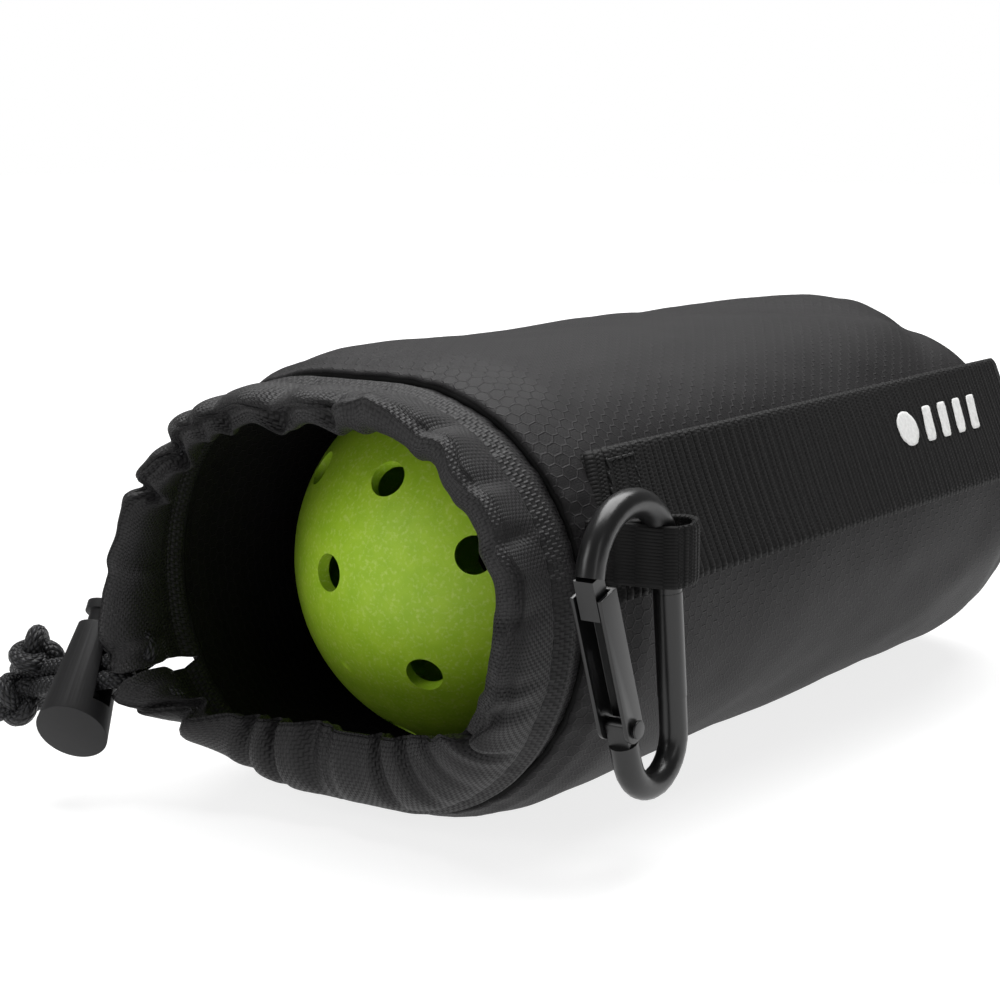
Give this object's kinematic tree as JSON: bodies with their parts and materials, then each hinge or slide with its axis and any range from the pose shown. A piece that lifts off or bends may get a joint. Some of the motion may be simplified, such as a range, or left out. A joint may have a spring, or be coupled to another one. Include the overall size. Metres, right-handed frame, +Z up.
{
  "type": "drawstring ball bag",
  "caption": "Soft drawstring tube bag for perforated balls, lying on its side, with a gathered mouth, cord lock, handle strap, sprung-gate carabiner and a ball.",
  "frame": {"origin": "centre of the box round the bag, strap, carabiner and ball, on the surface that the bag lies on", "axes": "+Y from the mouth to the base along the bag's axis, +X towards the strap and carabiner, +Z up"},
  "size_m": [0.1367, 0.2233, 0.081],
  "materials": {
    "ripstop": "black honeycomb ripstop nylon",
    "oxford": "charcoal plain-weave oxford",
    "binding": "black woven binding tape",
    "webbing": "black ribbed webbing with a small pale print",
    "thread": "black sewing thread",
    "cord": "black braided cord",
    "lock_plastic": "matte black moulded plastic",
    "anodised": "satin black anodised",
    "spring_steel": "bright spring wire",
    "ball_plastic": "speckled lime moulded plastic"
  },
  "bodies": {
    "bag": {"body_panel": "ripstop", "side_seam": "ripstop", "base_panel": "ripstop", "base_binding": "binding", "collar_panel": "oxford", "cord_casing": "oxford", "collar_binding": "binding", "hem_stitches": "thread", "casing_cord": "cord", "drawcord_tails": "cord", "drawcord_knot": "cord", "cord_ends": "cord", "handle_strap": "webbing", "strap_front_stitches": "thread", "strap_rear_stitches": "thread", "carabiner_loop": "webbing", "loop_stitches": "thread"},
    "ball": {"ball": "ball_plastic"},
    "carabiner": {"carabiner_frame": "anodised", "gate_rivet": "anodised"},
    "gate": {"carabiner_gate": "anodised", "gate_spring": "spring_steel"},
    "cord_lock": {"lock_body": "lock_plastic", "lock_spring": "spring_steel"},
    "lock_button": {"lock_plunger": "lock_plastic"}
  },
  "joints": [
    {"name": "ball_slide", "type": "slide", "parent": "bag", "child": "ball", "axis": [0, 1, 0], "range_m": [0, 0.09]},
    {"name": "carabiner_swing", "type": "hinge", "parent": "bag", "child": "carabiner", "pos_m": [0.0496, -0.0787, 0.05], "axis": [0, -0.1045, 0.9945], "range_deg": [-8, 110]},
    {"name": "gate_hinge", "type": "hinge", "parent": "carabiner", "child": "gate", "pos_m": [0.0496, -0.09246, 0.02642], "axis": [-1, 0, 0], "range_deg": [0, 25], "stiffness_Nm_per_rad": 0.02},
    {"name": "lock_slide", "type": "slide", "parent": "bag", "child": "cord_lock", "axis": [-0.9781, 0, -0.2079], "range_m": [-0.0015, 0.0015]},
    {"name": "button_press", "type": "slide", "parent": "cord_lock", "child": "lock_button", "axis": [0.17, -0.574, -0.801], "range_m": [0, 0.0024], "stiffness_N_per_m": 400}
  ]
}
